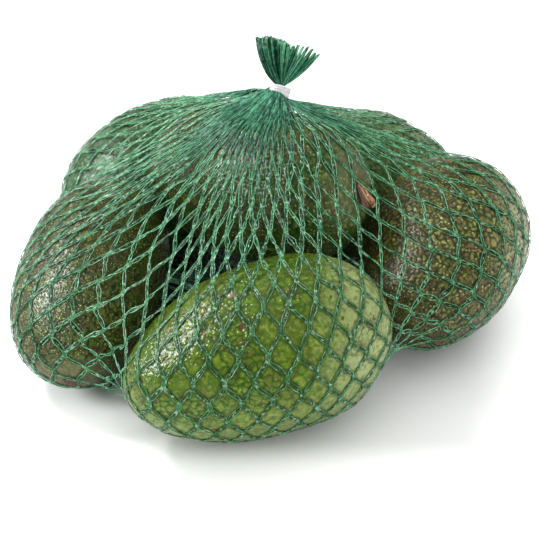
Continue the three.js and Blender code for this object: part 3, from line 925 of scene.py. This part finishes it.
    links, lnrm, lsc = [], [], []
    for j in range(R):
        for i in range(N):
            if j % 2 == 0:
                wl, wr = 2 * i, 2 * i + 1
            else:
                wl, wr = 2 * i + 1, (2 * i + 2) % W
            p = j * per
            for way, ok in ((-1, j > 0), (1, j < R - 1)):
                if not ok or tight[j, i] < 0.45 or rng.uniform() > 0.62:
                    continue
                a0, a1 = (p, p - 1) if way < 0 else (p + 1, p + 2)
                fa, fb = rng.uniform(0.55, 1.0), rng.uniform(0.55, 1.0)
                ya = yarns[rng.integers(3)][0]
                yb = yarns[rng.integers(3)][0]
                pa = ya[wl, a0] * (1 - fa) + ya[wl, a1] * fa
                pb = yb[wr, a0] * (1 - fb) + yb[wr, a1] * fb
                mid = (pa + pb) / 2 - way * down[j, i] * rng.uniform(0.1, 0.55)
                links.append([pa * 1.12 - pb * 0.12, (pa + mid * 2) / 3, (pb + mid * 2) / 3, pb * 1.12 - pa * 0.12])
                lnrm.append(outw[j, i])
                lsc.append(tight[j, i])
    links = np.array(links)
    flat, _ = push_out(links.reshape(-1, 3).copy(), CLEAR + 0.06)
    flat[:, 2] = np.maximum(flat[:, 2], 0.2)
    links = flat.reshape(links.shape)
    lt = unit(np.gradient(links, axis=1))
    lo = np.repeat(np.array(lnrm)[:, None, :], 4, 1)
    lo = unit(lo - (lo * lt).sum(-1)[..., None] * lt)
    m = len(links)
    obs.append(ribbon_mesh("net_links", links, np.cross(lo, lt), lo, np.full((m, 4), 0.13), np.full((m, 4), 0.06),
                           {"tone": np.repeat(rng.uniform(0, 1, (m, 1)), 4, 1),
                            "open": np.repeat(np.array(lsc)[:, None], 4, 1), **under(links)}))
    for ob in obs:
        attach(ob, "root")
        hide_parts("net_bag")
    lines = np.concatenate([yarns[0][0], yarns[2][0]])
    lines = np.concatenate([(lines[:, :-1] * (1 - t) + lines[:, 1:] * t).reshape(-1, 3) for t in (0.0, 0.25, 0.5, 0.75)])
    return obs, lines


def shade_skin(fruit, lines):
    """mark the skin close beside the yarn, which lies in its shade"""
    kd = kdtree.KDTree(len(lines))
    for k in range(len(lines)):
        kd.insert(lines[k], k)
    kd.balance()
    for ob in fruit:
        co = np.empty(3 * len(ob.data.vertices))
        ob.data.vertices.foreach_get("co", co)
        near = np.array([kd.find(v)[2] for v in co.reshape(-1, 3) / MM])
        at = ob.data.attributes.new("yarn_shade", "FLOAT", "POINT")
        at.data.foreach_set("value", smooth(near, 1.35, 0.65))


def make_tail(name, base, ex, ey, ez, ends, bends, depth, count, seed, seg=9, waist=1.3, tufts=0):
    """cut ends of the net fanned out beyond a band.
    ends, bends: functions of 0..1 across the fan giving (across, along) in mm"""
    rng = np.random.default_rng(seed)
    u = (np.arange(count) + rng.uniform(0.1, 0.9, count)) / count
    rng.shuffle(u)
    fold = np.sin(u * 2 * math.pi * 3.5 + 0.6)
    v = np.clip(0.62 * fold + rng.normal(size=count) * 0.42, -1.0, 1.0)
    ex_, al_ = ends(u)
    tuft_x = tuft_z = np.zeros(count)
    if tufts:                    # the very ends hang together in tufts, more so to the right
        which = np.minimum((u * tufts).astype(int), tufts - 1)
        pull = 0.15 + 0.75 * smooth(u, 0.42, 0.66)
        tuft_x, tuft_z = (pull * (a - b) for a, b in zip(ends((which + 0.5) / tufts), (ex_, al_)))
        tuft_z = tuft_z + rng.normal(size=tufts)[which] * (0.12 + 0.35 * smooth(u, 0.42, 0.66))
    bx, bl = bends(u)
    fray = 1.0 + rng.normal(size=count) * 0.018 - 0.07 * (rng.uniform(size=count) > 0.95)
    ex_, al_ = ex_ * fray, al_ * fray
    x0 = (u - 0.5) * 2 * waist
    y0 = v * np.sqrt(np.clip(1.1 * waist ** 2 - x0 ** 2, 0.05, None))
    yb = v * depth * 0.55
    y1 = v * depth * rng.uniform(0.75, 1.1, count)
    t = np.linspace(0, 1, seg + 1)[None, :]
    q0, q1, q2 = (1 - t) ** 2, 2 * t * (1 - t), t * t
    wob = rng.normal(size=(count, 3)) * 0.22
    X = q0 * x0[:, None] + q1 * bx[:, None] + q2 * ex_[:, None] + np.sin(t * 5 + wob[:, :1] * 9) * 0.16 * t \
        + tuft_x[:, None] * t ** 5
    Y = q0 * y0[:, None] + q1 * yb[:, None] + q2 * y1[:, None] + np.sin(t * 6 + wob[:, 1:2] * 9) * 0.22 * t
    Z = q1 * bl[:, None] + q2 * al_[:, None] + tuft_z[:, None] * t ** 4
    P = base + X[..., None] * ex + Y[..., None] * ey + Z[..., None] * ez
    tg = unit(np.gradient(P, axis=1))
    face = unit(np.stack([np.zeros_like(v), np.sign(v + 1e-6), np.zeros_like(v)], 1) + rng.normal(size=(count, 3)) * 0.35)
    nn = face[:, :1] * ex + face[:, 1:2] * ey + face[:, 2:] * ez
    nn = np.repeat(nn[:, None, :], seg + 1, 1)
    nn = unit(nn - (nn * tg).sum(-1)[..., None] * tg)
    hw = 0.25 * (0.6 + 0.4 * t) * rng.uniform(0.8, 1.3, (count, 1)) * np.ones((count, seg + 1))
    tone = np.clip(rng.uniform(0, 1, (count, 1)) * 0.7 + rng.uniform(0, 1, (count, seg + 1)) * 0.3, 0, 1)
    ob = ribbon_mesh(name, P, np.cross(nn, tg), nn, hw, np.full((count, seg + 1), 0.07),
                     {"tone": tone, "open": 0.2 + 0.55 * t * np.ones((count, 1))})
    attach(ob, "root")
    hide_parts("net_bag")
    return ob


def net_material(name, dark, light, shine, shine_amt, close_shade_amt):
    n = Nodes(name)
    tone, opn = n.attr("tone"), n.attr("open")
    wav = n.noise(700.0, 2.0)
    # a little bluer where it is gathered than in the open mesh
    lit = n.mix(n.remap(opn, 0.35, 0.9), (light[0] + 2, light[1] + 6, light[2] + 18), light)
    col = n.mix(n.remap(tone, 0.15, 0.85), dark, lit)
    # painted light: where the yarn lies on a fruit it takes some of the skin's colour, as light seen through the thin
    # yarn; limy on the front fruit, darker on the others
    col = n.mix(n.math("MULTIPLY", n.attr("lime"), 0.46), col, (64, 106, 42))
    col = n.mix(n.math("MULTIPLY", n.attr("dusk"), 0.16), col, (52, 70, 36))
    # painted highlights: pale glints along the threads, fewer where they lie gathered
    glow = n.math("MULTIPLY", n.remap(wav, 0.52, 0.68, 0.0, shine_amt), n.remap(opn, 0.3, 0.95, 0.22, 1.0))
    col = n.mix(glow, col, shine)
    # painted shade: darker where the threads lie close, most of all the threads underneath
    close_shade = n.math("MULTIPLY", n.remap(opn, 1.0, 0.4, 0.0, close_shade_amt), n.remap(tone, 0.90, 0.35, 0.22, 1.0))
    col = n.mix(close_shade, col, (2, 54, 34))
    n.link(col, n.b.inputs["Base Color"])
    n.link(n.remap(wav, 0.3, 0.7, 0.2, 0.36), n.b.inputs["Roughness"])
    n.b.inputs["Specular IOR Level"].default_value = 0.16
    n.link(n.bump(n.noise(2600.0, 2.0), 0.00006, 0.5), n.b.inputs["Normal"])
    return n.mat


# ---------------------------------------------------------------- bands
def make_band(name, node, mid, ex, ey, ez, seed):
    """a white ribbed plastic band shrunk round the gathered net"""
    rng = np.random.default_rng(seed)
    half, ro, ri = 1.5, 4.15, 1.3
    prof = []
    for t in np.linspace(0, 1, 25):                          # outside, three rounded ribs
        z = -half + 2 * half * t
        rib = 0.20 * abs(math.sin(math.pi * 3 * t)) ** 0.7
        end = -0.35 * (abs(2 * t - 1) ** 6)
        prof.append((ro - 0.15 + rib + end, z))
    for t in np.linspace(0, 1, 6)[1:]:                       # over the top edge, inwards
        prof.append((ro - 0.5 - (ro - 0.5 - ri) * t, half - 0.12 * t * t + 0.05 * math.sin(math.pi * t)))
    for t in np.linspace(0, 1, 6)[1:]:
        prof.append((ri, half - 0.12 - (2 * half - 0.24) * t))
    for t in np.linspace(0, 1, 6)[1:-1]:
        prof.append((ri + (ro - 0.5 - ri) * t, -half + 0.12 * (1 - t)))
    prof = np.array(prof)
    m, k = 96, len(prof)
    th = np.linspace(0, 2 * math.pi, m, endpoint=False)[:, None]
    wob = 0.10 * np.sin(2 * th + 0.7) + 0.05 * np.sin(5 * th + 2.0)
    tilt = 0.16 * np.sin(th + 0.9) + 0.07 * np.sin(3 * th)
    r = prof[None, :, 0] + wob * (prof[None, :, 0] > ri + 0.3)
    z = prof[None, :, 1] + tilt - 1.4 * np.clip(np.cos(th), 0, 1) * np.clip(-prof[None, :, 1] / half, 0, 1)
    P = mid + (r * np.cos(th))[..., None] * ex + (r * np.sin(th))[..., None] * ey + z[..., None] * ez
    idx = np.arange(m * k).reshape(m, k)
    nx = np.roll(idx, -1, 0)
    quads = np.stack([idx, nx, np.roll(nx, -1, 1), np.roll(idx, -1, 1)], -1).reshape(-1, 4)
    # painted shade: one side of the band, towards -X, is darkened
    side_shade = np.repeat(0.5 - 0.5 * np.cos(th).ravel(), k)
    ob = mesh_object(name, P.reshape(-1, 3), quads, attrs={"side_shade": side_shade})
    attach(ob, "root")
    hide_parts(node)
    return ob


def band_material():
    n = Nodes("band_white")
    cloud = n.noise(500.0, 2.0)
    col = n.mix(n.remap(cloud, 0.35, 0.65), (214, 212, 216), (230, 229, 232))
    # painted shade on the band's -X side
    col = n.mix(n.remap(n.attr("side_shade"), 0.35, 0.85, 0.0, 0.85), col, (188, 184, 192))
    n.link(col, n.b.inputs["Base Color"])
    n.link(n.remap(cloud, 0.3, 0.7, 0.38, 0.5), n.b.inputs["Roughness"])
    n.b.inputs["Subsurface Weight"].default_value = 0.25
    n.b.inputs["Subsurface Radius"].default_value = (1.0, 1.0, 1.0)
    n.b.inputs["Subsurface Scale"].default_value = 0.0012
    n.link(n.bump(n.noise(1800.0, 2.0), 0.00005, 0.5), n.b.inputs["Normal"])
    return n.mat


# ---------------------------------------------------------------- stalks
def make_stub():
    """woody stub of stalk left on the uppermost fruit, torn off at its end"""
    rng = np.random.default_rng(77)
    m, k = 80, 34
    th = np.linspace(0, 2 * math.pi, m, endpoint=False)
    e1 = unit(np.cross(STUB_WAY, [0.0, -0.857, 0.514])[None])[0]
    e2 = np.cross(STUB_WAY, e1)
    P = np.zeros((k, m, 3))
    grain = 0.13 * np.sin(7 * th + 1.0) + 0.10 * np.sin(13 * th + 0.3) + 0.07 * np.sin(23 * th + 2.0)
    torn = 0.9 * np.sin(2 * th + 2.4) + 0.8 * np.sin(5 * th + 0.5) + 0.45 * np.sin(9 * th) + rng.normal(size=m) * 0.10
    for q in range(k):
        t = q / (k - 1)
        late = smooth(np.array(t), 0.45, 1.0)
        r = 1.20 + 0.50 * smooth(np.array(t), 0.0, 0.45) + 0.32 * late
        rr = r * (1 + grain * (0.4 + 1.3 * late))
        if t > 0.94:
            rr = rr * max(0.35, 1 - ((t - 0.94) / 0.06) ** 2)
        mid = STUB_FROM + STUB_WAY * (-0.9 + (STUB_LONG + 0.2) * t)
        P[q] = mid + (rr * np.cos(th))[:, None] * e1 * 1.12 + (rr * np.sin(th))[:, None] * e2 * 0.85 \
            + (torn * 0.75 * late)[:, None] * STUB_WAY
    idx = np.arange(k * m).reshape(k, m)
    quads = np.stack([idx[:-1], np.roll(idx[:-1], -1, 1), np.roll(idx[1:], -1, 1), idx[1:]], -1).reshape(-1, 4)
    verts = np.concatenate([P.reshape(-1, 3), [P[0].mean(0)], [P[-1].mean(0) - 0.9 * STUB_WAY]])
    c0, c1 = k * m, k * m + 1
    tris = [(c0, (i + 1) % m, i) for i in range(m)] + [(c1, idx[-1, i], idx[-1, (i + 1) % m]) for i in range(m)]
    g = np.concatenate([np.tile(0.5 + 1.6 * grain, k), [0.5, 0.3]])
    # darker towards one side of the stub
    dark_side = np.concatenate([np.tile(0.5 + 0.5 * np.cos(th), k), [0.5, 0.5]])
    ob = mesh_object("stalk_stub", verts, quads, tris, attrs={"grain": g, "dark_side": dark_side})
    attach(ob, "root")
    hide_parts("net_bag")
    return ob


def make_buttons():
    """small corky discs where the other stalks broke off"""
    V, Q, T, G = [], [], [], []
    n0 = 0
    for a, f in enumerate(FRUITS):
        if f.name == "centre":
            continue
        rng = np.random.default_rng(300 + a)
        c = f.point(unit(np.array([STALK[f.name]])))
        out = f.field(c)[1][0]
        c = c[0] - 1.15 * out
        e1 = unit(np.cross(out, [0.2, 0.3, 0.9])[None])[0]
        e2 = np.cross(out, e1)
        m = 48
        th = np.linspace(0, 2 * math.pi, m, endpoint=False)
        rag = 1 + 0.07 * np.sin(3 * th + a) + 0.05 * np.sin(7 * th + 2 * a) + 0.03 * np.sin(12 * th)
        rows = [(3.5, -0.9), (3.45, 0.1), (3.1, 0.75), (2.6, 0.95), (2.1, 0.75), (1.5, 0.55), (0.9, 0.7), (0.4, 0.72)]
        base = n0
        for r, z in rows:
            zz = z + 0.09 * np.sin(9 * th + a) + rng.normal(size=m) * 0.05
            V.append(c + (r * rag * np.cos(th))[:, None] * e1 + (r * rag * np.sin(th))[:, None] * e2 + zz[:, None] * out)
            G.append(0.5 + 0.5 * np.sin(9 * th + r * 4))
        k = len(rows)
        idx = base + np.arange(k * m).reshape(k, m)
        Q.append(np.stack([idx[:-1], np.roll(idx[:-1], -1, 1), np.roll(idx[1:], -1, 1), idx[1:]], -1).reshape(-1, 4))
        V.append((c + 0.7 * out)[None])
        V.append((c - 0.9 * out)[None])
        G.append(np.array([0.4, 0.4]))
        ct, cb = base + k * m, base + k * m + 1
        T += [(ct, idx[-1, i], idx[-1, (i + 1) % m]) for i in range(m)]
        T += [(cb, idx[0, (i + 1) % m], idx[0, i]) for i in range(m)]
        n0 = base + k * m + 2
    ob = mesh_object("stalk_scars", np.concatenate(V), np.concatenate(Q), np.array(T), attrs={"grain": np.concatenate(G)})
    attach(ob, "root")
    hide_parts("net_bag")
    return ob


def wood_material(name, dark, mid, light):
    n = Nodes(name)
    g = n.attr("grain")
    streak = n.noise(900.0, 3.0)
    col = n.mix(n.remap(g, 0.2, 0.75), dark, mid)
    col = n.mix(n.remap(streak, 0.5, 0.7), col, light)
    # darker on one side of the stub
    col = n.mix(n.remap(n.attr("dark_side"), 0.42, 0.72, 0.0, 0.9), col, dark)
    n.link(col, n.b.inputs["Base Color"])
    n.link(n.remap(streak, 0.3, 0.7, 0.55, 0.8), n.b.inputs["Roughness"])
    n.link(n.bump(n.noise(2400.0, 3.0), 0.00015, 0.7), n.b.inputs["Normal"])
    return n.mat


# ---------------------------------------------------------------- make everything
fruit_obs = []
for nm in FRUIT:
    ob = make_fruit(nm)
    ob.data.materials.append(skin_material(nm))
    fruit_obs.append(ob)

net_mat = net_material("net_green", (0, 36, 16), (106, 193, 138), (194, 239, 208), 0.58, 0.72)
tail_mat = net_material("net_green_deep", (6, 62, 38), (84, 178, 122), (196, 242, 220), 0.60, 0.85)
net_obs, net_lines = make_net()
for ob in net_obs:
    ob.data.materials.append(net_mat)
shade_skin(fruit_obs, net_lines)

US = np.array([0.0, 0.10, 0.30, 0.40, 0.46, 0.49, 0.60, 0.70, 0.82, 1.0])


def tail_ends(u):
    x = np.interp(u, US, [-9.6, -7.2, -2.6, 0.3, 1.9, 2.4, 5.4, 8.0, 11.0, 14.3])
    z = np.interp(u, US, [18.4, 18.4, 18.2, 17.2, 16.2, 15.4, 15.7, 14.9, 13.4, 11.2])
    return x, z


def tail_bends(u):
    x = np.interp(u, [0.0, 0.3, 0.6, 1.0], [-7.9, -2.0, 2.4, 8.0])
    z = np.interp(u, [0.0, 0.3, 0.6, 1.0], [3.3, 8.0, 7.5, 4.3])
    return x, z


TB = TOP + 1.0 * NZ + np.array([0.5, 0.0, 0.0])
TZ = np.array([0.0, math.sin(31.0 * DEG), math.cos(31.0 * DEG)])
TY = np.array([0.0, math.cos(31.0 * DEG), -math.sin(31.0 * DEG)])
tail = make_tail("net_tail", TB, np.array([1.0, 0, 0]), TY, TZ, tail_ends, tail_bends, 3.4, 620, 5, waist=0.45, tufts=15)
tail.data.materials.append(tail_mat)


def foot_ends(u):
    a = (u - 0.5) * 2 * math.pi * 0.98
    return 8.6 * np.sin(a * 0.5) * 1.0, 5.6 + 0 * u


def foot_bends(u):
    a = (u - 0.5) * 2 * math.pi * 0.98
    return 2.6 * np.sin(a * 0.5), 4.2 + 0 * u


DOWN = np.array([0, 0, -1.0])
foot_tail = make_tail("net_foot_tail", FOOT + 1.4 * DOWN, np.array([1.0, 0, 0]), np.array([0, -1.0, 0]), DOWN,
                      foot_ends, foot_bends, 8.0, 240, 15, seg=6)
foot_tail.data.materials.append(tail_mat)

white = band_material()
band = make_band("band_top_ribbed", "band_top", TOP, NX, NY, NZ, 1)
band.data.materials.append(white)
EX = np.array([1.0, 0, 0])
EZ = np.array([0, 0, 1.0])
fband = make_band("band_foot_ribbed", "band_foot", FOOT, EX, np.array([0, 1.0, 0]), EZ, 2)
fband.data.materials.append(white)

stub = make_stub()
stub.data.materials.append(wood_material("stalk_wood", (80, 52, 36), (172, 120, 80), (216, 174, 134)))
scars = make_buttons()
scars.data.materials.append(wood_material("stalk_cork", (44, 28, 18), (84, 58, 38), (116, 86, 58)))

# ---------------------------------------------------------------- stage, light, camera
fl = bpy.data.meshes.new("floor")
S = 6.0
fl.from_pydata([(-S, -S, 0), (S, -S, 0), (S, S, 0), (-S, S, 0)], [], [(0, 1, 2, 3)])
floor = bpy.data.objects.new("floor", fl)
bpy.context.scene.collection.objects.link(floor)
fm = Nodes("floor_white")
far = fm.t.nodes.new("ShaderNodeVectorMath")
far.operation = "DISTANCE"
fm.link(fm.co, far.inputs[0])
far.inputs[1].default_value = (-0.012, 0.024, 0.0)
paper = fm.mix(fm.remap(fm.noise(3.0, 2.0), 0.3, 0.7), (244, 244, 244), (247, 247, 247))
# painted shadow: the floor is nearly black in a disc under the middle of the heap
fm.link(fm.mix(fm.remap(far.outputs["Value"], 0.036, 0.054), (20, 20, 16), paper), fm.b.inputs["Base Color"])
fm.b.inputs["Roughness"].default_value = 0.6
# the floor glows a little, more towards its rim, and not at all under the heap
sep = fm.t.nodes.new("ShaderNodeSeparateXYZ")
fm.link(fm.co, sep.inputs[0])
lit = fm.math("ADD", fm.remap(sep.outputs["X"], -0.020, -0.085, 0.06, 0.42), fm.remap(sep.outputs["X"], 0.070, 0.100, 0.0, 0.32))
lit = fm.math("ADD", lit, fm.remap(sep.outputs["Y"], -0.076, -0.096, 0.0, 0.26))
lit = fm.math("MULTIPLY", lit, fm.remap(far.outputs["Value"], 0.046, 0.075))
# and no glow by the gap between the left and front fruit, which leaves a painted shade on the floor there
gap = fm.t.nodes.new("ShaderNodeVectorMath")
gap.operation = "DISTANCE"
fm.link(fm.co, gap.inputs[0])
gap.inputs[1].default_value = (-0.056, -0.040, 0.0)
lit = fm.math("MULTIPLY", lit, fm.remap(gap.outputs["Value"], 0.010, 0.022))
fm.link(fm.mix(lit, (0, 0, 0), (255, 255, 255)), fm.b.inputs["Emission Color"])
fm.b.inputs["Emission Strength"].default_value = 1.0
fm.b.inputs["Specular IOR Level"].default_value = 0.2
fl.materials.append(fm.mat)

scene = bpy.context.scene
world = bpy.data.worlds.new("studio")
scene.world = world
world.use_nodes = True
wt = world.node_tree
bg = wt.nodes["Background"]
bg.inputs["Color"].default_value = (1.0, 1.0, 1.0, 1.0)
wco = wt.nodes.new("ShaderNodeTexCoord")
wsep = wt.nodes.new("ShaderNodeSeparateXYZ")
wmap = wt.nodes.new("ShaderNodeMapRange")
wt.links.new(wco.outputs["Generated"], wsep.inputs[0])
wt.links.new(wsep.outputs["Z"], wmap.inputs["Value"])
for key, val in (("From Min", 0.0), ("From Max", 1.0), ("To Min", 0.58), ("To Max", 1.36)):
    wmap.inputs[key].default_value = val
wt.links.new(wmap.outputs[0], bg.inputs["Strength"])


def soft_light(name, at, aim, size, power, color=(1, 1, 1)):
    d = bpy.data.lights.new(name, "AREA")
    d.shape = "RECTANGLE"
    d.size, d.size_y = size
    d.energy = power
    d.color = color
    o = bpy.data.objects.new(name, d)
    o.location = at
    o.rotation_euler = (Vector(aim) - Vector(at)).to_track_quat("-Z", "Y").to_euler()
    scene.collection.objects.link(o)
    return o


soft_light("key", (-0.60, 0.38, 0.80), (0, -0.01, 0.04), (0.24, 0.24), 8.0)

# a broad low panel on the left that only shows in gloss
panel = soft_light("glint", (-0.82, -0.14, 0.50), (-0.01, -0.03, 0.04), (0.34, 0.34), 24.0)
panel.visible_diffuse = False
panel = soft_light("glint_high", (-0.58, 0.02, 0.76), (-0.01, -0.03, 0.04), (0.42, 0.32), 22.0)
panel.visible_diffuse = False

cam = bpy.data.cameras.new("camera")
cam.lens = 160.95
cam.sensor_width = 36.0
cam.clip_start = 0.05
cam.clip_end = 20.0
cam_ob = bpy.data.objects.new("camera", cam)
E = 30.958 * DEG
aim = Vector((-1.95, -27.345, 42.0)) * MM
cam_ob.location = aim + Vector((0, -math.cos(E), math.sin(E))) * 0.8984
cam_ob.rotation_euler = (aim - cam_ob.location).to_track_quat("-Z", "Y").to_euler()
scene.collection.objects.link(cam_ob)
scene.camera = cam_ob
scene.view_settings.view_transform = "Standard"
